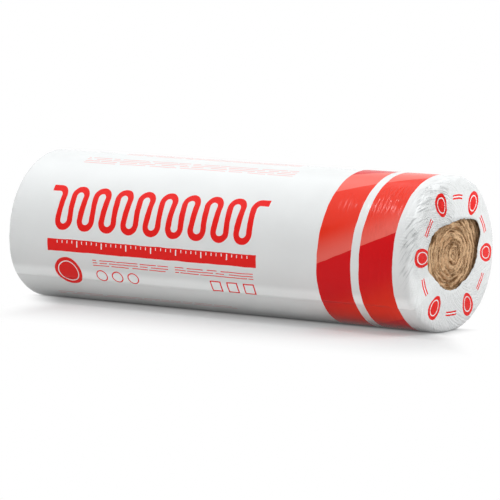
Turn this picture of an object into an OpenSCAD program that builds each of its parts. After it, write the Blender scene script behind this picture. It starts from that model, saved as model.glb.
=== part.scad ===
// Roll of mineral wool blanket, wound without a core and packed in a printed film sleeve.
// The roll lies on its side: its axis is level along X, and the floor touches it at Z = 0.

/* [Roll] */
// Length of the packed roll from end to end
roll_length = 1200; // [600:10:1500]
// Outside diameter of the packed roll
roll_d = 370; // [290:1:450]
// Radius of the shoulder where the side turns into each end
shoulder_r = 24; // [10:1:40]

/* [Film sleeve] */
// Thickness of the film
film_t = 0.4; // [0.2:0.05:1]
// Diameter of the opening that the film leaves in each end
opening_d = 196; // [120:1:230]
// Width of the glued lap, measured around the roll
lap_w = 40; // [20:1:160]
// Angle of the lap's free edge below level, on the front of the roll
lap_edge_angle = 37.5; // [30:0.5:60]
// Distance from each shoulder to the end of the lap
lap_inset = 3; // [1:1:40]

/* [Wool blanket] */
// Thickness of one turn of the blanket as wound
turn_t = 13; // [9:0.5:20]
// Width of the flat crest on the edge of each turn
crest_w = 2; // [1:0.5:4]
// Depth of the valley between two turns
valley_depth = 4; // [1:0.5:7]
// Depth of the open wool face behind the film's end ring
face_recess = 8; // [3:0.5:14]

/* [Hidden] */
$fn = 96;
roll_r = roll_d / 2;
opening_r = opening_d / 2;
wool_r = roll_r - film_t;
wool_length = roll_length - 2 * film_t;
wool_shoulder_r = shoulder_r - film_t;
// Radius of the open wool face, inside the rounded lip under the film's edge
face_r = opening_r - face_recess;
// Distance from the middle of the roll to the open wool face
face_x = wool_length / 2 - face_recess;
// The winding is drawn from two centres half a turn apart, and its radius grows with each half circle
half_turn = turn_t / 2;
centre_shift = turn_t / 4;
valley_w = turn_t - crest_w;
half_turn_count = floor((face_r - centre_shift - valley_w / 2) / half_turn);
// Radius of the rounded edge of a turn, from the width and depth of the valley beside it
crown_r = ((valley_w / 2) ^ 2 + valley_depth ^ 2) / (2 * valley_depth);
// How far a cutting shape reaches past the face that it cuts
cut_over = 1;
lap_sweep = lap_w / roll_r * 180 / PI;
lap_length = roll_length - 2 * (shoulder_r + lap_inset);
// How far the lap's layer reaches into the sleeve, so that both are one solid
lap_seat = film_t / 2;

// Stands a shape that was turned about Z on its side, with its axis along X and its side on the floor
module lay_down() {
    translate([0, 0, roll_r]) rotate([0, 90, 0]) children();
}

// Half section of a bar with rounded shoulders, from its axis outwards
module bar_section(r, length, corner_r) {
    translate([0, -length / 2 + corner_r]) square([r, length - 2 * corner_r]);
    translate([0, -length / 2]) square([r - corner_r, length]);
    for (side = [-1, 1])
        translate([r - corner_r, side * (length / 2 - corner_r)]) circle(r = corner_r);
}

// Section of the hollow in front of the open wool face, less the rounded lip under the film's edge
module recess_section() {
    difference() {
        square([opening_r, face_recess + cut_over]);
        translate([opening_r, 0]) circle(r = face_recess);
    }
}

module wool_section() {
    difference() {
        bar_section(wool_r, wool_length, wool_shoulder_r);
        translate([0, face_x]) recess_section();
        mirror([0, 1]) translate([0, face_x]) recess_section();
    }
}

// Section of the valley between two turns, at a radius, between the rounded edges of both
module valley_section(r) {
    translate([r, 0]) difference() {
        translate([-valley_w / 2, -valley_depth]) square([valley_w, valley_depth + cut_over]);
        for (side = [-1, 1])
            translate([side * valley_w / 2, -crown_r]) circle(r = crown_r);
    }
}

// Valley that winds outwards over the face of the wool, one half circle at a time
module winding_valley() {
    for (k = [0 : half_turn_count - 1]) {
        upper = k % 2 == 0;
        translate([upper ? -centre_shift : centre_shift, 0, 0])
            rotate([0, 0, upper ? 0 : 180])
                rotate_extrude(angle = 180) valley_section((k + 1) * half_turn);
    }
}

module wool_roll() {
    color("#a98d63") lay_down() difference() {
        rotate_extrude() wool_section();
        translate([0, 0, face_x]) winding_valley();
        mirror([0, 0, 1]) translate([0, 0, face_x]) winding_valley();
    }
}

module sleeve_section() {
    difference() {
        bar_section(roll_r, roll_length, shoulder_r);
        bar_section(wool_r, wool_length, wool_shoulder_r);
        translate([0, -roll_length]) square([opening_r, 2 * roll_length]);
    }
}

// Second layer of film along the glued lap, above the lap's free edge
module lap() {
    rotate([0, 0, -90 + lap_edge_angle - lap_sweep])
        rotate_extrude(angle = lap_sweep)
            translate([roll_r - lap_seat, -lap_length / 2]) square([lap_seat + film_t, lap_length]);
}

module film_sleeve() {
    color("#f1f1ef") lay_down() {
        rotate_extrude() sleeve_section();
        lap();
    }
}

wool_roll();
film_sleeve();
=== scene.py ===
"""Insulation roll: printed packing film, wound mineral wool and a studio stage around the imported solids."""

import math

import bpy
import numpy as np
from bpy.props import FloatProperty, FloatVectorProperty, IntProperty, PointerProperty
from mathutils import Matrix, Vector


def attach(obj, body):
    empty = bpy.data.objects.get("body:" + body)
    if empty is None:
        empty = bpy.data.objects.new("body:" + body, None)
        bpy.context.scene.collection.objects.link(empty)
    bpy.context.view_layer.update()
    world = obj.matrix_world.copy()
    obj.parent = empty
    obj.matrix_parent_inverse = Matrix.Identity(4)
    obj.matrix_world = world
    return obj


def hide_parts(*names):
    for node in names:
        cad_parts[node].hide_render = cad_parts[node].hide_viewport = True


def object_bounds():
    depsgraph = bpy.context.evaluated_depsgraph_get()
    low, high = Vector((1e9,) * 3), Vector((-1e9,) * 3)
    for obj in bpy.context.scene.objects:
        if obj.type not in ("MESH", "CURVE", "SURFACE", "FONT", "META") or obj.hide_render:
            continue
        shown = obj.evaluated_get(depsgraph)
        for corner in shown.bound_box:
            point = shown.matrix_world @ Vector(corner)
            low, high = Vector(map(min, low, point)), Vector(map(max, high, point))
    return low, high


bl_info = {
    "name": "Insulation roll",
    "version": (1, 0, 0),
    "blender": (4, 5, 0),
    "location": "3D View > Sidebar > Insulation roll",
    "description": "Dresses a packed insulation roll with printed film, wound wool and a studio stage",
    "category": "Object",
}

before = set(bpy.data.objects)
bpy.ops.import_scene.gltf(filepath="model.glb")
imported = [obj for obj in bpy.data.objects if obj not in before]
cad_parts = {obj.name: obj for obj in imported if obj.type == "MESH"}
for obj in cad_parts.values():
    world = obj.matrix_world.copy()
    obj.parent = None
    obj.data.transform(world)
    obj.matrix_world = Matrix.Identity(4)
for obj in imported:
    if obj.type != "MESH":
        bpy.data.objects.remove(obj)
CAD_LOW, CAD_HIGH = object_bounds()
BODY = "root"
MM = 0.001
FULL_TURN = 2.0 * math.pi

# Types of node sockets, the one output of each kind of node group, and the Mix node's sockets for colours
NUMBER = "NodeSocketFloat"
WHOLE = "NodeSocketInt"
VECTOR = "NodeSocketVector"
GEOMETRY = "NodeSocketGeometry"
GROUP_OUTPUT = {"ShaderNodeTree": ("Mask", NUMBER), "GeometryNodeTree": ("Geometry", GEOMETRY)}
MIX_FIRST, MIX_SECOND, MIX_RESULT = 6, 7, 2

# Departure of the soft film from the solids: larger radius, and ends further in
FILM_SLACK = 0.0027
END_INSET = 0.0035

# Slump: where the near end comes upright and turns along the axis, where the roll spreads below its axis,
# and the share of the settling that the floor gives back
UPRIGHT_REACH = (0.36, 0.60)
SKEW_REACH = (0.50, 0.58)
SPREAD_REACH = (-0.02, 0.13)
GIVEN_BACK = 0.5 * (math.sqrt(2.0) - 1.0)

# Mesh density of the film: fine columns on its gathered ends, every fourth of them along its side
FINE_COLUMNS = 640
COARSE_STEP = 4
RING_ROWS = 13
SHOULDER_ROWS = 10
RUN_IN_ROWS = 6
SIDE_ROWS = 50
ARC_STEPS = 200
FLAT_MAP = "film_flat"

# Length of the fine run-in behind each shoulder, and how the rows crowd towards the shoulder
RUN_IN = 0.06
RING_CROWDING = 0.85
RUN_IN_CROWDING = 1.3

# Corners of the opening that the gathered film leaves: angle from the back over the top, and radius in mm
NEAR_OPENING = [
    (-168, 120), (-160, 105), (-138, 90), (-88, 81), (-61, 76), (-35, 87), (8, 100), (21, 118),
    (36, 122), (58, 96), (86, 82), (113, 82), (132, 98), (153, 119), (167, 121),
]
FAR_OPENING = [
    (-170, 92), (-140, 104), (-112, 88), (-75, 84), (-42, 103), (-10, 95), (20, 86), (50, 92),
    (78, 112), (105, 96), (135, 85), (165, 89),
]

# Rounding of those corners in degrees either way and in steps, and mean radius of an opening
OPENING_ROUNDING = 4
ROUNDING_STEPS = 7

# Ends of the film: side, opening, angle above level where the gathers are strongest, and their strength
FILM_ENDS = ((1, NEAR_OPENING, 0.9, 1.0), (-1, FAR_OPENING, 3.6, 0.4))

# Waves round the roll in each kind of unevenness: from, up to, and how many
RIM_WAVES = (18, 60, 7)
PATCH_WAVES = (7, 24, 8)
PLEAT_WAVES = (50, 112, 12)
CREASE_WAVES = (70, 150, 9)
LOBE_WAVES = (4, 13, 5)
TUCK_WAVES = (5, 22, 6)
DENT_WAVES = (2, 13, 12)

# Stretches past the end of the side where the pleats slant, grow and ease, and creases and lobes grow
SLANT_REACH = (-0.03, 0.045)
PLEAT_REACH = (-0.03, 0.012)
EASE_REACH = (0.03, 0.055)
CREASE_REACH = (0.01, 0.05)
LOBE_REACH = (0.0, 0.07)

# Mean height of a folded ripple, depth of a crease as a share of a pleat's, and heights of lobes and rim
RIPPLE_MEAN = 0.8
CREASE_SHARE = 0.2
LOBE_HEIGHT = 0.0006
RIM_RAGGED = 0.0004

# Tuck of the rim with its change and reach, and dents with their turn along the axis and reach
TUCK_DEPTH = 0.0008
TUCK_CHANGE = 0.0005
TUCK_REACH = 0.03
DENT_DEPTH = 0.00012
DENT_TURN = 14.0
DENT_REACH = (0.02, 0.10)

# Printing on the side, in metres along the axis and round the roll from level at the front: bars by centre
# and half size, discs by centre, outer and inner radius, rules by bar, pitch and share of line
NO_HOLE = -1.0
LOOPS = {"pitch": 0.0672, "rise": 0.031, "loop": 0.0185, "stroke": 0.0165}
LOOP_START = (-0.4552, 0.068, 0.0)
LOOP_BLOCK = ((-0.1528, 0.068), (0.3024, 0.062))
LOOP_TAILS = [((x, 0.1175), (0.011, 0.00825)) for x in (-0.4660, 0.1604)]
RULER = ((-0.1528, -0.0275), (0.3134, 0.0155))
SQUARES = [(x, -0.104) for x in (0.035, 0.083, 0.131)]
BADGE = (-0.412, -0.099)
RED_BARS = [*LOOP_TAILS, RULER, *((centre, (0.016, 0.016)) for centre in SQUARES)]
RED_DISCS = [(BADGE, 0.041, NO_HOLE), *(((x, -0.104), 0.017, 0.0138) for x in (-0.31, -0.262, -0.214))]
RED_RULES = [((x, -0.066), (0.115, 0.011), 0.0068, 0.34) for x in (-0.215, 0.035)]
WHITE_BARS = [(centre, (0.0125, 0.0125)) for centre in SQUARES]
WHITE_DISCS = [(BADGE, 0.031, 0.0285)]
PALE_RULES = [
    ((-0.13, 0.229), (0.315, 0.016), 0.0085, 0.36),
    ((-0.215, -0.187), (0.27, 0.008), 0.008, 0.3),
    ((-0.1, 0.288), (0.26, 0.008), 0.008, 0.55),
    ((-0.1, -0.279), (0.26, 0.0175), 0.008, 0.55),
]

# Ticks on the ruler: pitch, half width and the bar that they fill
TICKS = [
    (0.015, 0.0011, ((-0.1528, -0.0185), (0.292, 0.0035))),
    (0.075, 0.0016, ((-0.1528, -0.0225), (0.292, 0.0075))),
]

# Spots on the ends: how many, their turn and their white ring as shares of the radius; half sizes of the
# dashes between them and of the white line in each dash
SPOTS = 6
SPOT_TURN = math.radians(3.0)
SPOT_RING = (0.59, 0.68)
DASH_LENGTH = 0.030
DASH_WIDTH = 0.0055
DASH_LINE = 0.0015

# Panels of the bands: slant, heights of their edges from low to high, and heights of their fades
PANEL_SLANT = 0.42
PANEL_EDGES = (-0.2, 0.03, 0.215)
DEEP_FADE = (-0.05, -0.15)
WARM_FADE = (0.11, 0.03)

# Finish of the film: drift of the printing, haze, ink in the pale printing, lap on the ends, and gloss
PRINT_DRIFT = (0.004, 0.004, 0.0)
HAZE = 0.12
PALE_INK = 0.45
LAP_ON_ENDS = 0.3
FILM_ROUGHNESS = (0.17, 0.265)
FILM_SPECULAR = 0.10

# Fine wrinkles: where they come along the axis, where the side is slack and the end is pulled in radians
# above level, and heights of rings, creases and soft unevenness
WRINKLE_REACH = (0.28, 0.52)
SLACK_ANGLE = 0.68
PULLED_ANGLE = 0.58
RING_BUMP = 0.006
CREASE_BUMP = (0.003, 0.010)
SOFT_BUMP = 0.0004

# Grain of each pattern: scale, detail and, where it is not the usual one, roughness of its noise
RULE_NOISE = (34.0, 1.0)
DRIFT_NOISE = (26.0, 2.0)
HAZE_NOISE = (9.0, 3.0)
SLACK_NOISE = (13.0, 2.0)
RING_NOISE = (9.0, 2.0)
CREASE_NOISE = (120.0, 3.0, 0.55)
SOFT_NOISE = (30.0, 2.0)
FOLD_NOISE = (95.0, 2.0, 0.6)
STRAY_NOISE = (21.0, 3.0, 0.6)
VALLEY_NOISE = (28.0, 3.0)
FRAY_NOISE = (150.0, 4.0, 0.65)
LAYER_NOISE = (1.0, 3.0, 0.6)
STRAND_NOISE = (1.0, 4.0, 0.7)
FIBRE_NOISE = (420.0, 4.0, 0.7)
PATCH_NOISE = (38.0, 3.0)
SHADE_NOISE = (90.0, 2.0)

# Mesh density of the wool: columns round each turn, rows across it and rings along its side
WOOL_COLUMNS = 256
WOOL_ROWS = 11
WOOL_RINGS = 12
WELD = 0.00001
TURN_ATTRIBUTE = "turn"

# Inputs of the wool's trees: sizes of each wound end, and those of the slump
WOUND_SIZES = (
    "Turn", "Radius", "Half length", "Shoulder along", "Shoulder in", "Valley", "Recess", "Recess radius",
    "Crown", "Tilt back", "Tilt up", "Wander", "Fray", "Axis height",
)
SLUMP_SIZES = ("Lean", "Near lean", "Near skew", "Spread", "Settle", "Clearance")

# Shifts of the seed for the far end, the valleys and the fray, and width of the edge of the open face
FAR_SEED = 20.0
VALLEY_SEED = 4.0
FRAY_SEED = 9.0
FACE_EDGE = 0.012

# Where shade is painted on the wool as a dark gap under the near film's rim, and how far it reaches: along,
# to the back and up
SHADE_GAP_PLACE = (0.59, -0.094, 0.058)
SHADE_GAP_REACH = (0.06, 0.028, 0.034)

# Grain of layers and strands across the turns and round them, and heights of the wool's bump
LAYER_SCALE = (2.6, 20.0)
STRAND_SCALE = (8.0, 60.0)
LAYER_BUMP = 0.003
STRAND_BUMP = 0.0022
FIBRE_BUMP = 0.0008

# Loose fibres: radius of their opening, radius within which they may stand out, and depth of their band
FIBRE_OPENING = 0.12
FIBRE_CLEAR = 0.072
FIBRE_BAND = 0.04

# Studio lamps: place, point that they face, and size
DAYLIGHT = (0.975, 0.993, 1.0)
LAMPS = {
    "overhead": ((-0.45, -1.0, 3.1), (-0.1, -0.3, 0.0), (6.5, 5.0)),
    "side": ((3.15, 0.65, 1.45), (0.5, 0.0, 0.2), (1.6, 1.6)),
    "glint": ((-0.6, -1.2, 2.9), (-0.1, 0.0, 0.2), (0.4, 0.4)),
    "shine": ((0.2, -1.1, 2.9), (0.3, 0.0, 0.2), (0.3, 1.2)),
}
CLIP_END = 200.0
WHITE = (1.0, 1.0, 1.0, 1.0)

# Floor: half its side; its grey beside the roll, a painted shade in the light it bounces onto the roll, its
# grey further out and its grey as seen; and where the first gives way
FLOOR_REACH = 60.0
FLOOR_BOUNCE_SHADE = (0.42, 0.42, 0.42)
FLOOR_PALE = (0.80, 0.80, 0.79)
FLOOR_SEEN = (0.62, 0.62, 0.62)
BOUNCE_SHADE_REACH = (0.05, 0.22)

# Shadow on the floor: how it fades to white away from the roll, where and how fast it fades past the far
# end and behind the roll, and how it deepens under the roll
SHADOW_FADE = (0.0, 0.28, 0.29, 1.0)
FAR_START = (0.05, 0.2, 0.51, 0.415)
FAR_FADE = -2.1
SLANT_START = 0.5
BEHIND_START = 0.02
BEHIND_FADE = 2.5
UNDER_FADE = (0.025, 0.07, 0.1, 1.0)
UNDER_ENDS = 0.04


# Settings
class FilmSettings(bpy.types.PropertyGroup):
    """Packing film: its shape, its gathers and its finish."""

    radius: FloatProperty(
        name="Radius", description="Outside radius of the packed roll before it settles",
        default=(CAD_HIGH.z - CAD_LOW.z) / 2 + FILM_SLACK, unit="LENGTH", precision=4)
    half_length: FloatProperty(
        name="Half length", description="From the middle of the roll to each end",
        default=(CAD_HIGH.x - CAD_LOW.x) / 2 - END_INSET, unit="LENGTH", precision=4)
    settle: FloatProperty(
        name="Settle", description="How far the soft roll settles on the floor",
        default=0.004, unit="LENGTH", precision=4)
    spread: FloatProperty(
        name="Spread", description="Share by which the settled roll is wider low down", default=0.045)
    shoulder_axial: FloatProperty(
        name="Shoulder along", description="Length of the rounded shoulder along the axis",
        default=0.016, unit="LENGTH", precision=4)
    shoulder_radial: FloatProperty(
        name="Shoulder in", description="Depth of the rounded shoulder towards the axis",
        default=0.024, unit="LENGTH", precision=4)
    bulge: FloatProperty(
        name="Bulge", description="How far the rim of each opening stands out past the shoulder",
        default=0.005, unit="LENGTH", precision=4)
    thickness: FloatProperty(
        name="Thickness", description="Thickness of one layer of film",
        default=0.0003, unit="LENGTH", precision=5)
    lap_angle: FloatProperty(
        name="Lap edge", description="Angle of the lap's free edge above level, at the front",
        default=math.radians(-37.5), subtype="ANGLE")
    lap_width: FloatProperty(
        name="Lap width", description="Width of the double layer, measured round the roll",
        default=0.04, unit="LENGTH", precision=4)
    lap_gap: FloatProperty(
        name="Lap gap", description="Distance between the faces of the two layers in the lap",
        default=0.0004, unit="LENGTH", precision=5)
    pleat_depth: FloatProperty(
        name="Pleat depth", description="Depth of the gathers on the shoulder",
        default=0.0026, unit="LENGTH", precision=5)
    pleat_slant: FloatProperty(
        name="Pleat slant", description="How fast the gathers turn round the roll, in radians a metre",
        default=8.0)
    lean: FloatProperty(
        name="Lean", description="Slope of the wound turns, whose lower halves lie further to the far end",
        default=0.052)
    near_lean: FloatProperty(
        name="Near lean", description="Share of that slope at the near end", default=0.5)
    near_skew: FloatProperty(
        name="Near skew", description="Slope of the near end, whose back stands further out", default=0.02)
    seed: IntProperty(name="Seed", description="Seed of the gathers and dents", default=11)
    white: FloatVectorProperty(
        name="White", description="Colour of one layer of film",
        default=(0.758, 0.763, 0.761), subtype="COLOR", size=3)
    lap_white: FloatVectorProperty(
        name="Lap white", description="Colour of the double layer of film",
        default=(0.915, 0.925, 0.925), subtype="COLOR", size=3)
    # Painted shade: a grey that darkens the film in the creases on the shoulder, where shade falls
    fold_shade_grey: FloatVectorProperty(
        name="Fold grey", description="Colour of the film in the folds of its gathers",
        default=(0.36, 0.365, 0.37), subtype="COLOR", size=3)


class PrintSettings(bpy.types.PropertyGroup):
    """Red printing on the film: its colours, its two bands and the spots on its ends."""

    red: FloatVectorProperty(
        name="Red", description="Main red of the printing",
        default=(0.80, 0.014, 0.012), subtype="COLOR", size=3)
    dark_red: FloatVectorProperty(
        name="Dark red", description="Deep red in the bands",
        default=(0.66, 0.006, 0.009), subtype="COLOR", size=3)
    orange_red: FloatVectorProperty(
        name="Orange red", description="Warm red in the bands",
        default=(0.77, 0.029, 0.010), subtype="COLOR", size=3)
    pale_red: FloatVectorProperty(
        name="Pale red", description="Faded red in the bands and fine lines",
        default=(0.82, 0.135, 0.105), subtype="COLOR", size=3)
    first_band: FloatProperty(
        name="First band", description="Where the first band begins along the axis",
        default=0.3333, unit="LENGTH", precision=4)
    second_band: FloatProperty(
        name="Second band", description="Where the second band begins along the axis",
        default=0.4507, unit="LENGTH", precision=4)
    band_width: FloatProperty(
        name="Band width", description="Width of each band", default=0.095, unit="LENGTH", precision=4)
    spot_radius: FloatProperty(
        name="Spot radius", description="Radius of the spots on the ends, on the flat film",
        default=0.030, unit="LENGTH", precision=4)
    spot_circle: FloatProperty(
        name="Spot circle", description="Radius of the circle through the spots on each end",
        default=0.139, unit="LENGTH", precision=4)


class WoolSettings(bpy.types.PropertyGroup):
    """Wound mineral wool: its turns, its ragged ends and its colours."""

    clearance: FloatProperty(
        name="Clearance", description="Distance between the wool and the film round it",
        default=0.003, unit="LENGTH", precision=4)
    end_clearance: FloatProperty(
        name="End clearance", description="Distance between the wool and the film's end rings",
        default=0.005, unit="LENGTH", precision=4)
    crown: FloatProperty(
        name="Crown", description="How far the middle of the winding stands out",
        default=0.006, unit="LENGTH", precision=4)
    turn: FloatProperty(
        name="Turn", description="Thickness of one turn of the blanket as wound",
        default=0.013, unit="LENGTH", precision=4)
    valley: FloatProperty(
        name="Valley", description="Depth of the valley between two turns",
        default=0.007, unit="LENGTH", precision=4)
    recess: FloatProperty(
        name="Recess", description="Mean depth of the open face behind the film's shoulder",
        default=0.0, unit="LENGTH", precision=4)
    tilt: FloatVectorProperty(
        name="Tilt", description="Slope of the open face towards the back and the top",
        default=(0.0, 0.05), size=2)
    recess_radius: FloatProperty(
        name="Recess radius", description="Radius at which the open face meets the film's ring",
        default=0.150, unit="LENGTH", precision=4)
    wander: FloatProperty(
        name="Wander", description="How far the turns stray from a true spiral",
        default=0.012, unit="LENGTH", precision=4)
    fray: FloatProperty(
        name="Fray", description="How far the ragged edge of the blanket reaches",
        default=0.005, unit="LENGTH", precision=4)
    fibres: IntProperty(name="Fibres", description="Loose fibres on each square metre", default=42000)
    fibre_length: FloatProperty(
        name="Fibre length", description="Length of a loose fibre",
        default=0.011, unit="LENGTH", precision=4)
    fibre_radius: FloatProperty(
        name="Fibre radius", description="Radius of a loose fibre",
        default=0.00016, unit="LENGTH", precision=5)
    seed: IntProperty(name="Seed", description="Seed of the ragged ends and fibres", default=5)
    crest: FloatVectorProperty(
        name="Crest", description="Colour of the wool on the crests",
        default=(0.742, 0.484, 0.283), subtype="COLOR", size=3)
    # This dark colour serves both the wool's darker layers, strands and fibres and the painted shade in the
    # valleys and under the film's rim
    dark_grain_and_shade: FloatVectorProperty(
        name="Hollow", description="Colour of the wool in the hollows",
        default=(0.205, 0.11, 0.047), subtype="COLOR", size=3)


class StageSettings(bpy.types.PropertyGroup):
    """Camera and studio light."""

    target: FloatVectorProperty(
        name="Target", description="Point that the camera looks at",
        default=(0.0138, 0.0, 0.1544), subtype="XYZ", unit="LENGTH", size=3)
    distance: FloatProperty(
        name="Distance", description="From the camera to its target", default=8.785, unit="LENGTH")
    yaw: FloatProperty(
        name="Yaw", description="Turn of the camera from the front towards the banded end",
        default=math.radians(34.4), subtype="ANGLE")
    elevation: FloatProperty(
        name="Elevation", description="Height of the camera above level",
        default=math.radians(7.09), subtype="ANGLE")
    lens: FloatProperty(
        name="Lens", description="Focal length in millimetres", default=257.9, unit="CAMERA")
    ambient: FloatProperty(name="Ambient", description="Strength of the even light", default=0.11)
    overhead: FloatProperty(
        name="Overhead", description="Power of the overhead light", default=149.0, unit="POWER")
    side: FloatProperty(
        name="Side", description="Power of the light beside the banded end", default=65.0, unit="POWER")
    glint: FloatProperty(
        name="Glint", description="Power of the small lamp that catches the wrinkles",
        default=20.0, unit="POWER")
    shine: FloatProperty(
        name="Shine", description="Power of the lamp that shows only in the film's gloss",
        default=110.0, unit="POWER")


class RollSettings(bpy.types.PropertyGroup):
    """All the settings of the roll."""

    film: PointerProperty(type=FilmSettings)
    printing: PointerProperty(type=PrintSettings)
    wool: PointerProperty(type=WoolSettings)
    stage: PointerProperty(type=StageSettings)


# Node helpers
class Value:
    """Result of a node, which takes part in sums and comparisons like a plain number."""

    def __init__(self, make, socket):
        self.make = make
        self.socket = socket

    def beside(self, output):
        """Another result of the same node."""
        return Value(self.make, self.socket.node.outputs[output])

    def __add__(self, other):
        return self.make.calc("ADD", self, other)

    def __sub__(self, other):
        return self.make.calc("SUBTRACT", self, other)

    def __rsub__(self, other):
        return self.make.calc("SUBTRACT", other, self)

    def __mul__(self, other):
        return self.make.calc("MULTIPLY", self, other)

    def __truediv__(self, other):
        return self.make.calc("DIVIDE", self, other)

    def __pow__(self, other):
        return self.make.calc("POWER", self, other)

    def __neg__(self):
        return self.make.calc("MULTIPLY", self, -1.0)

    def __abs__(self):
        return self.make.calc("ABSOLUTE", self)

    def __lt__(self, limit):
        return self.make.calc("LESS_THAN", self, limit)

    def __gt__(self, limit):
        return self.make.calc("GREATER_THAN", self, limit)


class NodeMaker:
    """Adds nodes to one tree and returns their results as values."""

    def __init__(self, tree, end):
        self.tree = tree
        self.end = end

    def feed(self, socket, value):
        """Links a value into an input, or sets the input's own value."""
        if isinstance(value, Value):
            self.tree.links.new(value.socket, socket)
        else:
            socket.default_value = value

    def fill(self, node, inputs):
        """Feeds the inputs of a node by name or number."""
        for key, value in inputs.items():
            self.feed(node.inputs[key], value)

    def add(self, kind, output, inputs=None, **options):
        """Adds a node, sets its options, feeds its inputs and returns one result."""
        node = self.tree.nodes.new(kind)
        for name, value in options.items():
            setattr(node, name, value)
        self.fill(node, inputs or {})
        return Value(self, node.outputs[output])

    def finish(self, value):
        """Feeds the end of the tree and returns the tree."""
        self.feed(self.end, value)
        return self.tree

    def calc(self, operation, *values):
        """One step of arithmetic."""
        return self.add("ShaderNodeMath", 0, dict(enumerate(values)), operation=operation)

    def largest(self, *values):
        """Largest of several values."""
        result = values[0]
        for value in values[1:]:
            result = self.calc("MAXIMUM", result, value)
        return result

    def wrap(self, value, period):
        """A value repeated over a period that is centred on zero."""
        return self.calc("WRAP", value, period / 2, -period / 2)

    def fade(self, value, start, end, low=0.0, high=1.0):
        """Moves smoothly from low to high while a value goes from start to end."""
        inputs = {"Value": value, "From Min": start, "From Max": end, "To Min": low, "To Max": high}
        return self.add("ShaderNodeMapRange", "Result", inputs, interpolation_type="SMOOTHSTEP")

    def vector(self, operation, *values):
        """One step of vector arithmetic."""
        return self.add("ShaderNodeVectorMath", 0, dict(enumerate(values)), operation=operation)

    def reach(self, vector):
        """Length of a vector."""
        return self.add("ShaderNodeVectorMath", "Value", {0: vector}, operation="LENGTH")

    def combine(self, x=0.0, y=0.0, z=0.0):
        """Vector of three values."""
        return self.add("ShaderNodeCombineXYZ", "Vector", {"X": x, "Y": y, "Z": z})

    def separate(self, vector):
        """The three values of a vector."""
        x = self.add("ShaderNodeSeparateXYZ", "X", {"Vector": vector})
        return x, x.beside("Y"), x.beside("Z")

    def noise(self, vector, scale, detail, roughness=0.5):
        """Soft noise on a vector."""
        inputs = {"Vector": vector, "Scale": scale, "Detail": detail, "Roughness": roughness}
        return self.add("ShaderNodeTexNoise", "Fac", inputs)

    def shift(self, vector, grain):
        """Soft noise in three directions, centred on zero."""
        return self.vector("SUBTRACT", self.noise(vector, *grain).beside("Color"), (0.5, 0.5, 0.5))

    def mix(self, factor, first, second):
        """Blend of two colours, each a value or red, green and blue."""
        first, second = [part if isinstance(part, Value) else (*part, 1.0) for part in (first, second)]
        inputs = {"Factor": factor, MIX_FIRST: first, MIX_SECOND: second}
        return self.add("ShaderNodeMix", MIX_RESULT, inputs, data_type="RGBA")

    def bump(self, height, strength):
        """Normal of a surface with heights in metres."""
        inputs = {"Height": height, "Strength": strength, "Distance": 1.0}
        return self.add("ShaderNodeBump", "Normal", inputs)

    def own_place(self):
        """Place on the object itself."""
        return self.add("ShaderNodeTexCoord", "Object")

    def move(self, geometry, place):
        """Geometry with its points moved."""
        return self.add("GeometryNodeSetPosition", "Geometry", {"Geometry": geometry, "Position": place})


def new_group(name, kind, inputs):
    """Makes a node group with one output and returns its maker with its inputs by name."""
    group = bpy.data.node_groups.new(name, kind)
    for socket_name, socket_type in inputs.items():
        group.interface.new_socket(socket_name, in_out="INPUT", socket_type=socket_type)
    output_name, output_type = GROUP_OUTPUT[kind]
    group.interface.new_socket(output_name, in_out="OUTPUT", socket_type=output_type)
    make = NodeMaker(group, group.nodes.new("NodeGroupOutput").inputs[0])
    return make, {socket.name: Value(make, socket) for socket in group.nodes.new("NodeGroupInput").outputs}


def new_material(name):
    """Makes a material with an empty Principled shader and returns it with its maker and shader."""
    material = bpy.data.materials.new(name)
    material.use_nodes = True
    nodes = material.node_tree.nodes
    make = NodeMaker(material.node_tree, nodes["Material Output"].inputs["Surface"])
    return material, make, nodes["Principled BSDF"]


# Shader groups of the printing
def bar_group():
    """Mask of a plain bar."""
    inputs = {"Place": VECTOR, "Centre": VECTOR, "Half size": VECTOR}
    make, given = new_group("Print bar", "ShaderNodeTree", inputs)
    off = make.vector("ABSOLUTE", make.vector("SUBTRACT", given["Place"], given["Centre"]))
    past_along, past_around, _ = make.separate(make.vector("SUBTRACT", off, given["Half size"]))
    return make.finish(make.largest(past_along, past_around) < 0.0)


def disc_group():
    """Mask of a disc, or of a ring where the inner radius is above zero."""
    inputs = {"Place": VECTOR, "Centre": VECTOR, "Inner": NUMBER, "Outer": NUMBER}
    make, given = new_group("Print disc", "ShaderNodeTree", inputs)
    reach = make.reach(make.vector("SUBTRACT", given["Place"], given["Centre"]))
    return make.finish((reach < given["Outer"]) * (reach > given["Inner"]))


def rule_group():
    """Mask of a block of fine rules with short breaks."""
    inputs = {"Block": NUMBER, "Place": VECTOR, "Pitch": NUMBER, "Share": NUMBER}
    make, given = new_group("Print rules", "ShaderNodeTree", inputs)
    along, around, _ = make.separate(given["Place"])
    row = around / given["Pitch"]
    line = make.calc("FRACT", row) < given["Share"]
    unbroken = make.noise(make.combine(along, make.calc("FLOOR", row)), *RULE_NOISE) > 0.42
    return make.finish(given["Block"] * (line * unbroken))


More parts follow.
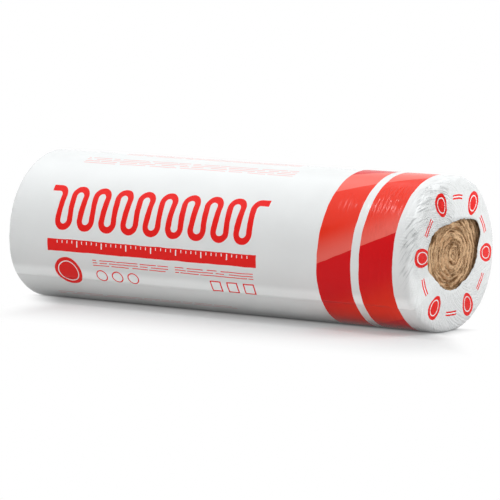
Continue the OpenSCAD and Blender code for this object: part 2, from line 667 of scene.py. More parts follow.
def loop_group(pitch, rise, loop, stroke):
    """Mask of a strip of wool loops, as drawn for insulation in a section: arcs joined by slanting lines."""
    make, given = new_group("Print loops", "ShaderNodeTree", {"Place": VECTOR})
    along, around, _ = make.separate(given["Place"])
    across = abs(make.wrap(along, pitch))
    lean = math.atan2(2 * rise, pitch / 2) - math.acos(2 * loop / math.hypot(pitch / 2, 2 * rise))

    def arc(centre_across, centre_around):
        """Distance from the arc's line, and how far the point lies past the arc's end."""
        x = across - centre_across
        y = around - centre_around
        gap = abs(make.calc("SQRT", x * x + y * y) - loop)
        return gap, x * -math.sin(lean) + y * -math.cos(lean)

    def choose(test, first, second):
        """First value where the test is one, second value elsewhere."""
        inputs = {"Factor": test, "A": second, "B": first}
        return make.add("ShaderNodeMix", "Result", inputs, data_type="FLOAT")

    upper, past_upper = arc(0.0, rise)
    lower, past_lower = arc(pitch / 2, -rise)
    line = abs((across - pitch / 4) * math.cos(lean) + around * -math.sin(lean))
    gap = choose(past_upper < 0.0, upper, choose(past_lower > 0.0, lower, line))
    return make.finish(gap < stroke / 2)


# Shape of the film sleeve
def smooth(start, end, value):
    """Smooth step from 0 at start to 1 at end."""
    share = np.clip((value - start) / (end - start), 0.0, 1.0)
    return share * share * (3.0 - 2.0 * share)


def waves(rng, low, high, count):
    """Whole numbers of waves round the roll with their phases, so that their sum closes on itself."""
    return list(zip(rng.integers(low, high, count), rng.uniform(0.0, FULL_TURN, count)))


def ripple(angle, pairs):
    """Sum of waves round the roll, with a spread of about one."""
    return sum(np.cos(count * angle + phase) for count, phase in pairs) / math.sqrt(len(pairs) / 2)


def opening_radius(angle, corners):
    """Radius of the film's opening at each angle above level, with its corners a little rounded."""
    turned = np.degrees(math.pi - angle)
    places, radii = zip(*corners)
    steps = np.linspace(-OPENING_ROUNDING, OPENING_ROUNDING, ROUNDING_STEPS)
    return sum(np.interp(turned + step, places, radii, period=360) for step in steps) / len(steps) * MM


def shoulder_arc(film):
    """Length of film over a shoulder, from the side to the ring."""
    return math.pi / 4 * (film.shoulder_axial + film.shoulder_radial)


def column_angles(film):
    """Angles above level at the front, from the lap's free edge up, over and under to the hidden edge."""
    sweep = FULL_TURN + film.lap_width / film.radius
    count = COARSE_STEP * round(FINE_COLUMNS * sweep / FULL_TURN / COARSE_STEP)
    return film.lap_angle + np.linspace(0.0, sweep, count + 1)


def end_profile(film, rim):
    """Axial place, radius, outward direction and flat place of each point from the rim back to the side."""
    side_end = film.half_length - film.shoulder_axial
    ring_radius = film.radius - film.shoulder_radial
    flat = np.ones_like(rim)[None, :]
    fine = np.linspace(0.0, math.pi / 2, ARC_STEPS)
    step = np.hypot(film.shoulder_axial * np.cos(fine), film.shoulder_radial * np.sin(fine)) * fine[1]
    length = np.concatenate([[0.0], np.cumsum((step[1:] + step[:-1]) / 2)])

    share = np.linspace(0.0, 1.0, RING_ROWS, endpoint=False)[:, None] ** RING_CROWDING
    ring = rim + (ring_radius - rim) * share
    turn = np.linspace(math.pi / 2, 0.0, SHOULDER_ROWS + 1)[:, None]
    slope = np.hypot(np.sin(turn) / film.shoulder_axial, np.cos(turn) / film.shoulder_radial)
    run_in = RUN_IN * np.linspace(0.0, 1.0, RUN_IN_ROWS + 1)[1:, None] ** RUN_IN_CROWDING * flat

    axial = [film.half_length + film.bulge * (1.0 - share) * flat,
             (side_end + film.shoulder_axial * np.sin(turn)) * flat, side_end - run_in]
    radius = [ring, (film.radius - film.shoulder_radial * (1.0 - np.cos(turn))) * flat,
              np.full_like(run_in, film.radius)]
    out_axial = [np.ones_like(ring), np.sin(turn) / film.shoulder_axial / slope * flat,
                 np.zeros_like(run_in)]
    out_radial = [np.zeros_like(ring), np.cos(turn) / film.shoulder_radial / slope * flat,
                  np.ones_like(run_in)]
    past_side = [length[-1] + ring_radius - ring, np.interp(turn, fine, length) * flat, -run_in]
    return [np.concatenate(part) for part in (axial, radius, out_axial, out_radial, past_side)]


def gathers(film, angle, past_side, rng, strong_angle):
    """How far the gathered film stands out from its smooth shape near one end."""
    strength = 0.3 + 0.7 * np.exp(1.6 * (np.cos(angle - strong_angle) - 1.0))
    slanted = angle - film.pleat_slant * np.clip(past_side, *SLANT_REACH)
    patchy = np.clip(0.55 + 0.45 * ripple(angle + 9.0 * past_side, waves(rng, *PATCH_WAVES)), 0.0, 1.4)
    pleats = np.abs(ripple(slanted, waves(rng, *PLEAT_WAVES))) - RIPPLE_MEAN
    creases = np.abs(ripple(angle + 2.0 * past_side, waves(rng, *CREASE_WAVES))) - RIPPLE_MEAN
    lobes = ripple(angle, waves(rng, *LOBE_WAVES))
    eased = 1.0 - 0.7 * smooth(*EASE_REACH, past_side)
    crease_depth = CREASE_SHARE * film.pleat_depth * (0.4 + 0.6 * strength)
    return (film.pleat_depth * strength * patchy * smooth(*PLEAT_REACH, past_side) * eased * pleats
            + crease_depth * smooth(*CREASE_REACH, past_side) * creases
            + LOBE_HEIGHT * smooth(*LOBE_REACH, past_side) * lobes)


def dents(angle, axial, rng):
    """Shallow dents where the soft wool gives way under the film."""
    turns = rng.uniform(-DENT_TURN, DENT_TURN, DENT_WAVES[2])
    pairs = waves(rng, *DENT_WAVES)
    ripples = (np.cos(count * angle + turn * axial + phase) for (count, phase), turn in zip(pairs, turns))
    return DENT_DEPTH * sum(ripples)


def film_end(film, angle, rng, side, corners, strong_angle, strength):
    """Axial places, radii and flat places of the rows of one gathered end, from its rim to the side."""
    rim = opening_radius(angle, corners) + RIM_RAGGED * ripple(angle, waves(rng, *RIM_WAVES))
    axial, radius, out_axial, out_radial, past_side = end_profile(film, rim)
    stand = strength * gathers(film, angle[None, :], past_side, rng, strong_angle)
    depth = TUCK_DEPTH + TUCK_CHANGE * ripple(angle, waves(rng, *TUCK_WAVES))
    tuck = smooth(TUCK_REACH, 0.0, radius - rim[None, :]) * depth
    flat = film.half_length - film.shoulder_axial + past_side
    return side * (axial + out_axial * stand - tuck), radius + out_radial * stand, side * flat


def film_side(film, angle):
    """Axial places, radii and flat places of the rows along the side, from the near end to the far end."""
    reach = film.half_length - film.shoulder_axial - RUN_IN
    share = np.linspace(-1.0, 1.0, SIDE_ROWS + 2)[1:-1]
    axial = np.outer(-reach * np.sin(share * math.pi / 2), np.ones_like(angle))
    return axial, np.full_like(axial, film.radius), axial


def film_points(film):
    """Blocks of rows over the film from the near rim to the far rim, with places on the flat film."""
    rng = np.random.default_rng(film.seed)
    angle = column_angles(film)
    coarse = angle[::COARSE_STEP]
    near, far = [film_end(film, angle, rng, *end) for end in FILM_ENDS]
    dent_seed = rng.integers(1 << 30)
    blocks = [(near, angle), (film_side(film, coarse), coarse), ([part[::-1] for part in far], angle)]
    finished = []
    for (axial, radius, flat), columns in blocks:
        dent = dents(columns[None, :], axial, np.random.default_rng(dent_seed))
        dented = radius + smooth(*DENT_REACH, film.half_length - np.abs(axial)) * dent
        inner = film.lap_gap * (columns - film.lap_angle) / FULL_TURN
        finished.append(rolled(film, axial, dented - inner, flat, columns))
    return finished


def rolled(film, axial, radius, flat, angle):
    """Points and flat places of one block of rows, wound round the axis and slumped on the floor."""
    up = radius * np.sin(angle)
    lean = film.lean * (1.0 - (1.0 - film.near_lean) * smooth(*UPRIGHT_REACH, axial))
    back = -radius * np.cos(angle) * (1.0 + film.spread * smooth(*SPREAD_REACH, -up))
    skew = film.near_skew * smooth(*SKEW_REACH, axial)
    sunk = film.radius + up - film.settle
    height = 0.5 * (sunk + np.sqrt(sunk**2 + film.settle**2)) - GIVEN_BACK * film.settle
    points = np.stack([axial + lean * up + skew * back, back, np.maximum(height, 0.0)], axis=-1)
    places = np.stack([flat, np.broadcast_to(angle * film.radius, flat.shape)], axis=-1)
    return points, places


def grid_faces(numbers):
    """Quads of a grid of numbered points."""
    corners = (numbers[:-1, :-1], numbers[:-1, 1:], numbers[1:, 1:], numbers[1:, :-1])
    return np.stack(corners, axis=-1).reshape(-1, 4).tolist()


def join_faces(fine, coarse):
    """Triangles between a fine row and a row with every fourth column."""
    faces = []
    for j in range(len(coarse) - 1):
        a, b, c, d, e = fine[COARSE_STEP * j:COARSE_STEP * (j + 1) + 1]
        left, right = coarse[j], coarse[j + 1]
        faces += [(a, b, left), (b, c, left), (c, right, left), (c, d, right), (d, e, right)]
    return faces


def film_mesh(film):
    """One sheet of film, wound once round the roll with its edges lapped."""
    blocks = film_points(film)
    grids = []
    start = 0
    for points, _ in blocks:
        rows, columns = points.shape[:2]
        grids.append(start + np.arange(rows * columns).reshape(rows, columns))
        start += rows * columns
    faces = [face for numbers in grids for face in grid_faces(numbers)]
    near, side, far = [numbers.tolist() for numbers in grids]
    faces += join_faces(near[-1], side[0])
    faces += [face[::-1] for face in join_faces(far[0], side[-1])]
    mesh = bpy.data.meshes.new("film_sleeve_dressed")
    mesh.from_pydata(np.concatenate([points.reshape(-1, 3) for points, _ in blocks]).tolist(), [], faces)
    flat = np.concatenate([places.reshape(-1, 2) for _, places in blocks])
    corner = np.zeros(len(mesh.loops), np.int32)
    mesh.loops.foreach_get("vertex_index", corner)
    mesh.uv_layers.new(name=FLAT_MAP).data.foreach_set("uv", flat[corner].astype(np.float32).ravel())
    mesh.shade_smooth()
    return mesh


# Finish of the film sleeve
def print_masks(make, place):
    """Masks of the red print, the pale print and the white marks in the red on the side of the film."""
    bars, discs, rules = bar_group(), disc_group(), rule_group()

    def printed(group, inputs):
        return make.add("ShaderNodeGroup", "Mask", {"Place": place, **inputs}, node_tree=group)

    def bar(centre, half):
        return printed(bars, {"Centre": (*centre, 0.0), "Half size": (*half, 1.0)})

    def disc(centre, outer, inner):
        return printed(discs, {"Centre": (*centre, 0.0), "Inner": inner, "Outer": outer})

    def ruled(centre, half, pitch, share):
        return printed(rules, {"Block": bar(centre, half), "Pitch": pitch, "Share": share})

    along, _, _ = make.separate(place)
    loops = printed(loop_group(**LOOPS), {"Place": make.vector("SUBTRACT", place, LOOP_START)})
    red = [loops * bar(*LOOP_BLOCK)]
    red += [bar(*row) for row in RED_BARS]
    red += [disc(*row) for row in RED_DISCS]
    red += [ruled(*row) for row in RED_RULES]
    white = [bar(*row) for row in WHITE_BARS]
    white += [disc(*row) for row in WHITE_DISCS]
    white += [(abs(make.wrap(along, pitch)) < width) * bar(*block) for pitch, width, block in TICKS]
    pale = [ruled(*row) for row in PALE_RULES]
    return make.largest(*red), make.largest(*pale), make.largest(*white)


def spot_masks(make, along, around, film, printing):
    """Masks of the red spots and dashes on both ends of the film, and of the white lines in them."""
    to_ring = film.half_length - film.shoulder_axial + shoulder_arc(film)
    circle = to_ring + film.radius - film.shoulder_radial - printing.spot_circle
    spacing = FULL_TURN / SPOTS * film.radius
    inward = abs(along) - circle
    across = make.wrap(around - SPOT_TURN * film.radius, spacing)
    between = abs(across) - spacing / 2
    reach = make.calc("SQRT", across * across + inward * inward)
    dash = (abs(between) < DASH_LENGTH) * (abs(inward) < DASH_WIDTH)
    inner, outer = [share * printing.spot_radius for share in SPOT_RING]
    ring = (reach > inner) * (reach < outer)
    red = make.largest(reach < printing.spot_radius, dash)
    return red, make.largest(ring, dash * (abs(inward) < DASH_LINE))


def band_colour(make, along, around, half_girth, printing):
    """Mask of the two bands and their colour, in slanting panels that fade downwards."""
    half = printing.band_width / 2
    starts = (printing.first_band, printing.second_band)
    first, second = [abs(along - (start + half)) < half for start in starts]
    level = make.wrap(around - (along - printing.second_band) * PANEL_SLANT, half_girth)
    low_edge, middle_edge, high_edge = PANEL_EDGES
    deep = make.mix(make.fade(level, *DEEP_FADE), printing.dark_red, printing.orange_red)
    warm = make.mix(make.fade(level, *WARM_FADE), printing.orange_red, printing.pale_red)
    colour = make.mix(level < middle_edge, warm, deep)
    colour = make.mix(level < low_edge, colour, printing.dark_red)
    return make.largest(first, second), make.mix(level > high_edge, colour, printing.pale_red)


def lap_mask(make, flat, along, around, film):
    """Mask of the double layer in the lap, which fades upwards and on the ends."""
    lap_end = film.lap_angle * film.radius + film.lap_width
    _, height, _ = make.separate(flat)
    fading = make.fade(around, lap_end, lap_end - 0.5 * film.lap_width)
    side_end = film.half_length - film.shoulder_axial
    on_side = make.fade(abs(along), side_end, film.half_length, 1.0, LAP_ON_ENDS)
    return (height < lap_end) * fading * on_side


def film_wrinkles(make, flat, film):
    """Normal of wrinkles too fine for the mesh, rings on the side and creases on the end, and mask of painted
    shade in the folds.
    """
    along, around, _ = make.separate(flat)
    reach = abs(along)
    angle = around / film.radius
    near_end = make.fade(along, *WRINKLE_REACH)
    on_end = make.fade(reach, film.half_length - film.shoulder_axial, film.half_length + 0.01)

    slack = make.fade(make.calc("COSINE", (angle - SLACK_ANGLE) * 2.0), 0.55, 0.95, 0.25, 1.0)
    shifted = make.vector("SUBTRACT", flat, (0.06, 0.0, 0.0))
    patches = slack * make.fade(make.noise(shifted, *SLACK_NOISE), 0.38, 0.6)
    rings = make.noise(make.combine(along * 12.0, around), *RING_NOISE)
    soft = make.noise(make.combine(along * 0.4, around), *SOFT_NOISE)

    turned = around - reach * (film.pleat_slant * film.radius)
    creases = make.noise(make.combine(reach * 0.35, turned), *CREASE_NOISE)
    slits = make.noise(make.combine(reach * 0.45, turned), *FOLD_NOISE)
    pulled = make.fade(make.calc("COSINE", angle - PULLED_ANGLE), 0.5, 0.95) * near_end
    rising = make.fade(reach, film.half_length - 0.036, film.half_length - 0.018)
    falling = make.fade(reach, film.half_length + 0.020, film.half_length - 0.004)
    # Painted shade: mask of the short creases on the shoulder, where the film's colour is darkened
    folds = make.fade(slits, 0.50, 0.66, 0.0, 0.8) * (rising * falling * pulled)

    ring_height = (rings - 0.5) * near_end * (patches * RING_BUMP)
    crease_height = (creases - 0.5) * on_end * make.fade(pulled, 0.0, 1.0, *CREASE_BUMP)
    return make.bump(ring_height + crease_height + soft * SOFT_BUMP, 1.0), folds


def film_material(film, printing):
    """White packing film with red printing, a soft gloss and fine wrinkles."""
    material, make, shader = new_material("packing_film")
    flat = make.add("ShaderNodeUVMap", "UV", uv_map=FLAT_MAP)
    drift = make.vector("MULTIPLY", make.shift(flat, DRIFT_NOISE), PRINT_DRIFT)
    along, around, _ = make.separate(make.vector("ADD", flat, drift))
    half_girth = math.pi * film.radius
    red, pale, white = print_masks(make, make.combine(along, make.wrap(around, half_girth)))
    spots, spot_white = spot_masks(make, along, around, film, printing)
    band, band_red = band_colour(make, along, around, half_girth, printing)
    haze = make.noise(flat, *HAZE_NOISE)
    wrinkles, folds = film_wrinkles(make, flat, film)

    ground = make.mix(lap_mask(make, flat, along, around, film), film.white, film.lap_white)
    ground = make.mix(make.fade(haze, 0.3, 0.75, 0.0, HAZE), ground, film.lap_white)
    # Painted shade: the film's colour darkens towards the fold grey in the creases on the shoulder
    ground = make.mix(folds, ground, film.fold_shade_grey)
    colour = make.mix(pale, ground, make.mix(PALE_INK, ground, printing.pale_red))
    colour = make.mix(make.largest(red, spots), colour, printing.red)
    colour = make.mix(make.largest(white, spot_white), colour, film.lap_white)
    make.fill(shader, {
        "Base Color": make.mix(band, colour, band_red),
        "Roughness": make.fade(haze, 0.2, 0.8, *FILM_ROUGHNESS),
        "Specular IOR Level": FILM_SPECULAR,
        "Normal": wrinkles,
    })
    return material


# Shape of the wound wool
def end_depth(make, given, radius, across, back, up):
    """Depth of the surface behind the end of the wool: open face, valleys, fray and rounded shoulder."""
    face = given["Recess radius"]
    shoulder = given["Shoulder in"]

    def seeded_noise(shift, grain):
        return make.noise(make.combine(back, up, given["Seed"] + shift), *grain)

    edge = abs(across * 2.0 - 1.0)
    uneven = make.fade(seeded_noise(VALLEY_SEED, VALLEY_NOISE), 0.40, 0.60, 0.0, 2.2)
    valley = edge ** 3.0 * given["Valley"] * uneven
    calm = make.fade(radius, face * 0.45, face * 0.65, 2.0, 1.0)
    frayed = (seeded_noise(FRAY_SEED, FRAY_NOISE) - 0.5) * (given["Fray"] * calm)
    slope = back * given["Tilt back"] + up * given["Tilt up"]
    crown = make.fade(radius, face * 0.55, 0.0, 0.0, given["Crown"])
    recess = make.largest(given["Recess"] + slope, 0.0) - crown
    lower = make.fade(radius, face, face - FACE_EDGE) * (recess + valley + frayed)
    past = make.largest(radius - (given["Radius"] - shoulder), 0.0) / shoulder
    round_off = 1.0 - make.calc("SQRT", make.largest(1.0 - past * past, 0.0))
    return lower + round_off * given["Shoulder along"]


def wound_end_group():
    """Geometry group of one end of the wound blanket, with its valleys and ragged edge."""
    make, given = new_group("Wound end", "GeometryNodeTree", dict.fromkeys((*WOUND_SIZES, "Seed"), NUMBER))
    turns = make.calc("CEIL", given["Radius"] / given["Turn"]) + 1.0
    columns = turns * WOOL_COLUMNS + 1.0
    grid = make.add("GeometryNodeMeshGrid", "Mesh",
                    {"Size X": 1.0, "Size Y": 1.0, "Vertices X": columns, "Vertices Y": WOOL_ROWS})
    along, across, _ = make.separate(grid.beside("UV Map"))
    wound = along * turns
    angle = wound * FULL_TURN
    turn = wound + across - 1.0
    radius = make.calc("MINIMUM", make.largest(turn * given["Turn"], 0.0), given["Radius"])
    back = radius * make.calc("COSINE", angle)
    up = radius * make.calc("SINE", angle)

    # The turns stray in the plane of the end, but not at the film
    stray_back, stray_up, _ = make.separate(make.shift(make.combine(back, up, given["Seed"]), STRAY_NOISE))
    amount = make.fade(radius / given["Radius"], 0.98, 0.6) * given["Wander"] * 2.0
    height = up + stray_up * amount + given["Axis height"]
    depth = end_depth(make, given, radius, across, back, up)
    place = make.combine(given["Half length"] - depth, back + stray_back * amount, height)
    stored = make.add("GeometryNodeStoreNamedAttribute", "Geometry",
                      {"Geometry": grid, "Name": TURN_ATTRIBUTE, "Value": turn},
                      data_type="FLOAT", domain="POINT")
    return make.finish(make.move(stored, place))


def slumped_place(make, given, position):
    """Place of a point of the straight wool once it leans, spreads and settles as the film does."""
    x, y, z = make.separate(position)
    up = z - given["Axis height"]
    lean = given["Lean"] * make.fade(x, *UPRIGHT_REACH, 1.0, given["Near lean"])
    wider = make.fade(-up, *SPREAD_REACH, 0.0, given["Spread"])
    back = make.calc("MULTIPLY_ADD", wider, y, y)
    skew = make.fade(x, *SKEW_REACH, 0.0, given["Near skew"])
    along = make.calc("MULTIPLY_ADD", skew, back, make.calc("MULTIPLY_ADD", lean, up, x))
    sunk = z - (given["Settle"] + given["Clearance"])
    clipped = (sunk + make.calc("SQRT", sunk ** 2.0 + given["Settle"] ** 2.0)) * 0.5
    lift = make.calc("MULTIPLY_ADD", given["Settle"], -GIVEN_BACK, given["Clearance"])
    return make.combine(along, back, clipped + lift)


def wound_blanket_tree(material):
    """Geometry tree of the whole wool: both wound ends and the side between them, welded and slumped."""
    sizes = dict.fromkeys((*WOUND_SIZES, *SLUMP_SIZES), NUMBER)
    inputs = {"Geometry": GEOMETRY, **sizes, "Seed": WHOLE}
    make, given = new_group("Wound blanket", "GeometryNodeTree", inputs)
    end = wound_end_group()

    def wound_end(seed_shift):
        inputs = {name: given[name] for name in WOUND_SIZES}
        inputs["Seed"] = given["Seed"] + seed_shift
        return make.add("GeometryNodeGroup", "Geometry", inputs, node_tree=end)

    near = wound_end(0.0)
    position = make.add("GeometryNodeInputPosition", "Position")
    mirrored = make.move(wound_end(FAR_SEED), make.vector("MULTIPLY", position, (-1.0, 1.0, 1.0)))
    far = make.add("GeometryNodeFlipFaces", "Mesh", {"Mesh": mirrored})
    side_length = (given["Half length"] - given["Shoulder along"]) * 2.0
    tube = make.add("GeometryNodeMeshCylinder", "Mesh",
                    {"Vertices": WOOL_COLUMNS, "Side Segments": WOOL_RINGS, "Radius": given["Radius"],
                     "Depth": side_length}, fill_type="NONE")
    x, y, z = make.separate(position)
    side = make.move(tube, make.combine(z, x, y + given["Axis height"]))
    joined = make.add("GeometryNodeJoinGeometry", 0)
    for part in (near, far, side):
        make.feed(joined.socket.node.inputs[0], part)
    welded = make.add("GeometryNodeMergeByDistance", "Geometry", {"Geometry": joined, "Distance": WELD})
    slumped = make.move(welded, slumped_place(make, given, position))
    soft = make.add("GeometryNodeSetShadeSmooth", "Geometry", {"Geometry": slumped})
    return finish_tree(make, soft, material)


def finish_tree(make, geometry, material):
    """Ends a geometry tree with realized instances and a material."""
    real = make.add("GeometryNodeRealizeInstances", "Geometry", {"Geometry": geometry})
    inputs = {"Geometry": real, "Material": material}
    return make.finish(make.add("GeometryNodeSetMaterial", "Geometry", inputs))


def fibre_tree(material):
    """Geometry tree of loose fibres scattered over the open faces of the wool."""
    sizes = ("Density", "Length", "Radius", "Half length", "Opening", "Clear radius", "Axis height")
    inputs = {"Geometry": GEOMETRY, **dict.fromkeys(sizes, NUMBER), "Seed": WHOLE}
    make, given = new_group("Loose fibres", "GeometryNodeTree", inputs)
    x, y, z = make.separate(make.add("GeometryNodeInputPosition", "Position"))
    from_axis = make.reach(make.combine(0.0, y, z - given["Axis height"]))
    reach = abs(x)
    behind_rim = reach < given["Half length"] - given["Length"]
    clear = make.largest(from_axis < given["Clear radius"], behind_rim)
    in_opening = (from_axis < given["Opening"]) * clear
    on_end = (reach > given["Half length"] - FIBRE_BAND) * in_opening
    points = make.add("GeometryNodeDistributePointsOnFaces", "Points",
                      {"Mesh": given["Geometry"], "Selection": on_end, "Density": given["Density"],
                       "Seed": given["Seed"]})

    bend = make.add("GeometryNodeCurveQuadraticBezier", "Curve",
                    {"Resolution": 4, "Start": (-0.5, 0.0, -0.05), "Middle": (0.0, 0.3, 0.25),
                     "End": (0.5, -0.05, 0.1)})
    thickness = given["Radius"] / given["Length"]
    profile = make.add("GeometryNodeCurvePrimitiveCircle", "Curve", {"Resolution": 3, "Radius": thickness})
    fibre = make.add("GeometryNodeCurveToMesh", "Mesh",
                     {"Curve": bend, "Profile Curve": profile, "Fill Caps": True})

    spin = make.add("FunctionNodeRandomValue", "Value",
                    {"Min": (-0.6, -0.35, -math.pi), "Max": (0.6, 0.35, math.pi), "Seed": given["Seed"]},
                    data_type="FLOAT_VECTOR")
    turned = make.add("FunctionNodeRotateRotation", "Rotation",
                      {"Rotation": points.beside("Rotation"), "Rotate By": spin}, rotation_space="LOCAL")
    size = make.add("FunctionNodeRandomValue", 1,
                    {"Min": 0.45, "Max": 1.25, "Seed": given["Seed"]}, data_type="FLOAT")
    length = size * given["Length"]
    placed = make.add("GeometryNodeInstanceOnPoints", "Instances",
                      {"Points": points, "Instance": fibre, "Rotation": turned,
                       "Scale": make.combine(length, length, length)})
    return finish_tree(make, placed, material)


def baked_from_tree(name, mesh, tree, values):
    """Runs a geometry tree on a mesh and returns a plain mesh object with the result."""
    worker = bpy.data.objects.new(name + "_worker", mesh)
    bpy.context.scene.collection.objects.link(worker)
    modifier = worker.modifiers.new("Nodes", "NODES")
    modifier.node_group = tree
    for item in tree.interface.items_tree:
        if item.item_type == "SOCKET" and item.in_out == "INPUT" and item.name in values:
            modifier[item.identifier] = values[item.name]
    graph = bpy.context.evaluated_depsgraph_get()
    result = bpy.data.meshes.new_from_object(
        worker.evaluated_get(graph), preserve_all_data_layers=True, depsgraph=graph)
    bpy.data.objects.remove(worker)
    result.name = name
    piece = bpy.data.objects.new(name, result)
    bpy.context.scene.collection.objects.link(piece)
    return piece


# Finish of the wound wool
def wool_material(wool, film):
    """Brown mineral wool: fine layers along the turns, shade painted into the valleys and under the film's
    rim, and a fibrous bump.
    """
    material, make, shader = new_material("mineral_wool")
    place = make.own_place()
    x, y, z = make.separate(place)
    up = z - (film.radius - film.settle)
    turn = make.add("ShaderNodeAttribute", "Fac", attribute_name=TURN_ATTRIBUTE)

    def in_winding(across, along):
        """Place in the winding: across the turns, and round them at another scale."""
        return make.combine(turn * across, y * along, up * along)

    layers = make.noise(in_winding(*LAYER_SCALE), *LAYER_NOISE)
    strands = make.noise(in_winding(*STRAND_SCALE), *STRAND_NOISE)
    fibres = make.noise(place, *FIBRE_NOISE)
    patches = make.noise(place, *PATCH_NOISE)
    edge = abs(make.calc("FRACT", turn) * 2.0 - 1.0)
    # Painted shade: darker in the valleys between turns, in patches
    painted_valley_shade = make.fade(edge, 0.6, 1.0) * make.fade(patches, 0.40, 0.60)
    # Painted shade: a dark patch on the wool under the near film's rim, standing in for a shaded gap
    off = make.vector("SUBTRACT", make.combine(x, y, up), SHADE_GAP_PLACE)
    apart = make.reach(make.vector("DIVIDE", off, SHADE_GAP_REACH))
    gap = make.fade(make.calc("MULTIPLY_ADD", layers, 0.5, apart), 1.3, 0.8)
    dark = gap + make.fade(layers, 0.56, 0.36, -0.12, 0.75) + painted_valley_shade * 0.8
    dark += make.fade(patches, 0.55, 0.35, 0.0, 0.12)
    dark += make.fade(strands, 0.6, 0.38, -0.15, 0.32)
    dark += make.fade(fibres, 0.6, 0.4, -0.14, 0.26)
    # The darkening is partly the wool's own darker layers, strands and fibres, and partly painted shade
    shade = make.calc("MINIMUM", make.largest(dark, 0.0), 1.0)
    height = layers * LAYER_BUMP + strands * STRAND_BUMP + fibres * FIBRE_BUMP
    make.fill(shader, {
        "Base Color": make.mix(shade, wool.crest, wool.dark_grain_and_shade),
        "Roughness": 0.95,
        "Specular IOR Level": 0.15,
        "Normal": make.bump(height, 0.9),
    })
    return material


def fibre_material(wool):
    """Single fibres, a little lighter than the wool behind them."""
    material, make, shader = new_material("wool_fibre")
    shade = make.fade(make.noise(make.own_place(), *SHADE_NOISE), 0.35, 0.65)
    light = [min(1.0, 1.25 * part) for part in wool.crest]
    make.fill(shader, {"Base Color": make.mix(shade, wool.dark_grain_and_shade, light), "Roughness": 0.8})
    return material


# Stage
def seen_ray(make):
    """One for rays that show the background, straight or in a mirror or through glass."""
    camera = make.add("ShaderNodeLightPath", "Is Camera Ray")
    return make.largest(camera, camera.beside("Is Glossy Ray"), camera.beside("Is Transmission Ray"))


def floor_material():
    """Pale floor that keeps the roll's shadow and is plain white away from it."""
    material, make, shader = new_material("studio_floor")
    seen = seen_ray(make)
    x, y, _ = make.separate(make.own_place())
    aside = abs(y)
    # Painted shade: the floor is darker beside the roll in the light it bounces, standing in for the shade
    # under the roll
    pale = make.mix(make.fade(aside, *BOUNCE_SHADE_REACH), FLOOR_BOUNCE_SHADE, FLOOR_PALE)
    base = make.mix(seen, pale, FLOOR_SEEN)
    make.fill(shader, {"Base Color": base, "Roughness": 0.9, "Specular IOR Level": 0.0})
    past_near = x - CAD_HIGH.x
    past_far = (x + make.fade(aside, *FAR_START)) * FAR_FADE
    in_front = -y - CAD_HIGH.y
    behind = (y + make.largest(x - SLANT_START, 0.0) + BEHIND_START) * BEHIND_FADE
    past = make.combine(make.largest(past_near, past_far), make.largest(in_front, behind))
    away = make.reach(make.vector("MAXIMUM", past, (0.0, 0.0, 0.0)))
    past_ends = make.fade(abs(x), CAD_HIGH.x - UNDER_ENDS, CAD_HIGH.x + UNDER_ENDS)
    beside = make.largest(make.fade(aside, *UNDER_FADE), past_ends)
    share = seen * beside * make.fade(away, *SHADOW_FADE)
    white = make.add("ShaderNodeEmission", "Emission", {"Color": WHITE, "Strength": 1.0})
    shaders = {0: share, 1: Value(make, shader.outputs["BSDF"]), 2: white}
    make.finish(make.add("ShaderNodeMixShader", "Shader", shaders))
    return material


def set_world(stage):
    """Even light from all round, seen as plain white."""
    world = bpy.data.worlds.new("studio")
    world.use_nodes = True
    nodes = world.node_tree.nodes
    make = NodeMaker(world.node_tree, nodes["World Output"].inputs["Surface"])
    even = nodes["Background"]
    make.fill(even, {"Color": WHITE, "Strength": stage.ambient})
    white = make.add("ShaderNodeBackground", "Background", {"Color": WHITE, "Strength": 1.0})
    shaders = {0: seen_ray(make), 1: Value(make, even.outputs["Background"]), 2: white}
    make.finish(make.add("ShaderNodeMixShader", "Shader", shaders))
    bpy.context.scene.world = world


def add_softbox(name, place, aim, size, power):
    """Adds a rectangular light that faces a point and returns it."""
    light = bpy.data.lights.new(name, "AREA")
    light.shape = "RECTANGLE"
    light.size, light.size_y = size
    light.energy = power
    light.color = DAYLIGHT
    lamp = bpy.data.objects.new(name, light)
    lamp.location = place
    lamp.rotation_euler = (Vector(aim) - Vector(place)).to_track_quat("-Z", "Y").to_euler()
    bpy.context.scene.collection.objects.link(lamp)
    return lamp


def add_camera(stage):
    """Adds the camera at the photograph's viewing angle."""
    lens = bpy.data.cameras.new("camera")
    lens.lens = stage.lens
    lens.clip_end = CLIP_END
    camera = bpy.data.objects.new("camera", lens)
    level = math.cos(stage.elevation)
    back = Vector((math.sin(stage.yaw) * level, -math.cos(stage.yaw) * level, math.sin(stage.elevation)))
    camera.location = Vector(stage.target) + back * stage.distance
    camera.rotation_euler = (-back).to_track_quat("-Z", "Y").to_euler()
    bpy.context.scene.collection.objects.link(camera)
    bpy.context.scene.camera = camera


# Operators
class ROLL_OT_film_sleeve(bpy.types.Operator):
    """Make the printed packing film with its lap and gathered ends"""

    bl_idname = "insulation_roll.film_sleeve"
    bl_label = "Film sleeve"

    def execute(self, context):
        settings = context.scene.insulation_roll
        film = settings.film
        piece = bpy.data.objects.new("film_sleeve_dressed", film_mesh(film))
        context.scene.collection.objects.link(piece)
        piece.data.materials.append(film_material(film, settings.printing))
        wall = piece.modifiers.new("Film thickness", "SOLIDIFY")
        wall.thickness = film.thickness
        wall.offset = -1.0
        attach(piece, BODY)
        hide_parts("film_sleeve")
        return {"FINISHED"}


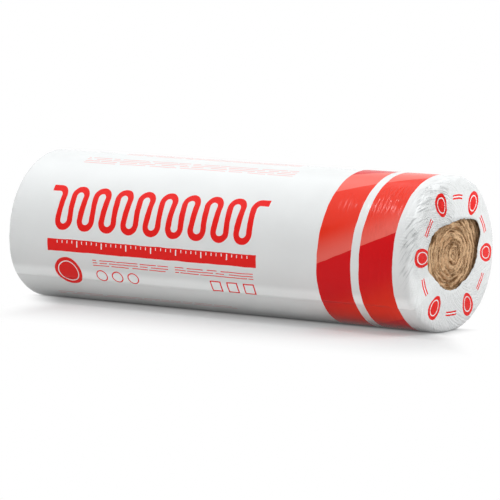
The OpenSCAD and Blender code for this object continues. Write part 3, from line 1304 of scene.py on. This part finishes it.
class ROLL_OT_wool_roll(bpy.types.Operator):
    """Make the wound mineral wool with its turns on both ends"""

    bl_idname = "insulation_roll.wool_roll"
    bl_label = "Wool roll"

    def execute(self, context):
        settings = context.scene.insulation_roll
        film, wool = settings.film, settings.wool
        values = {
            "Turn": wool.turn, "Radius": film.radius - wool.clearance,
            "Half length": film.half_length - wool.end_clearance,
            "Shoulder along": film.shoulder_axial, "Shoulder in": film.shoulder_radial,
            "Valley": wool.valley, "Recess": wool.recess, "Recess radius": wool.recess_radius,
            "Crown": wool.crown, "Tilt back": wool.tilt[0], "Tilt up": wool.tilt[1],
            "Wander": wool.wander, "Fray": wool.fray, "Axis height": film.radius,
            "Lean": film.lean, "Near lean": film.near_lean, "Near skew": film.near_skew,
            "Spread": film.spread, "Settle": film.settle, "Clearance": wool.clearance, "Seed": wool.seed,
        }
        empty = bpy.data.meshes.new("wool_start")
        tree = wound_blanket_tree(wool_material(wool, film))
        piece = baked_from_tree("wool_roll_dressed", empty, tree, values)
        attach(piece, BODY)
        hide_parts("wool_roll")
        return {"FINISHED"}


class ROLL_OT_wool_fibres(bpy.types.Operator):
    """Scatter loose fibres over the open faces of the wool"""

    bl_idname = "insulation_roll.wool_fibres"
    bl_label = "Loose fibres"

    def execute(self, context):
        settings = context.scene.insulation_roll
        film, wool = settings.film, settings.wool
        values = {
            "Density": float(wool.fibres), "Length": wool.fibre_length, "Radius": wool.fibre_radius,
            "Half length": film.half_length, "Opening": FIBRE_OPENING, "Clear radius": FIBRE_CLEAR,
            "Axis height": film.radius - film.settle, "Seed": wool.seed,
        }
        ground = bpy.data.objects["wool_roll_dressed"].data
        piece = baked_from_tree("wool_fibres", ground, fibre_tree(fibre_material(wool)), values)
        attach(piece, BODY)
        return {"FINISHED"}


class ROLL_OT_stage(bpy.types.Operator):
    """Make the pale floor, the studio light and the camera"""

    bl_idname = "insulation_roll.stage"
    bl_label = "Stage"

    def execute(self, context):
        stage = context.scene.insulation_roll.stage
        sides = ((-1, -1), (1, -1), (1, 1), (-1, 1))
        mesh = bpy.data.meshes.new("floor")
        mesh.from_pydata([(FLOOR_REACH * x, FLOOR_REACH * y, 0.0) for x, y in sides], [], [(0, 1, 2, 3)])
        mesh.materials.append(floor_material())
        floor = bpy.data.objects.new("floor", mesh)
        context.scene.collection.objects.link(floor)
        set_world(stage)
        lamps = {name: add_softbox(name, *lamp, getattr(stage, name)) for name, lamp in LAMPS.items()}
        lamps["shine"].visible_diffuse = False
        add_camera(stage)
        context.scene.view_settings.view_transform = "Standard"
        return {"FINISHED"}


class ROLL_PT_panel(bpy.types.Panel):
    """Lists the steps that dress the roll"""

    bl_idname = "ROLL_PT_panel"
    bl_label = "Insulation roll"
    bl_space_type = "VIEW_3D"
    bl_region_type = "UI"
    bl_category = "Insulation roll"

    def draw(self, context):
        for step in STEPS:
            self.layout.operator(step.bl_idname)


STEPS = (ROLL_OT_wool_roll, ROLL_OT_wool_fibres, ROLL_OT_film_sleeve, ROLL_OT_stage)
CLASSES = (FilmSettings, PrintSettings, WoolSettings, StageSettings, RollSettings, *STEPS, ROLL_PT_panel)


def register():
    """Registers the classes and the roll's settings."""
    for cls in CLASSES:
        bpy.utils.register_class(cls)
    bpy.types.Scene.insulation_roll = PointerProperty(type=RollSettings)


def unregister():
    """Removes the roll's settings and the classes."""
    del bpy.types.Scene.insulation_roll
    for cls in reversed(CLASSES):
        bpy.utils.unregister_class(cls)


def main():
    """Dresses the roll."""
    register()
    bpy.ops.insulation_roll.wool_roll()
    bpy.ops.insulation_roll.wool_fibres()
    bpy.ops.insulation_roll.film_sleeve()
    bpy.ops.insulation_roll.stage()


if __name__ == "__main__":
    main()
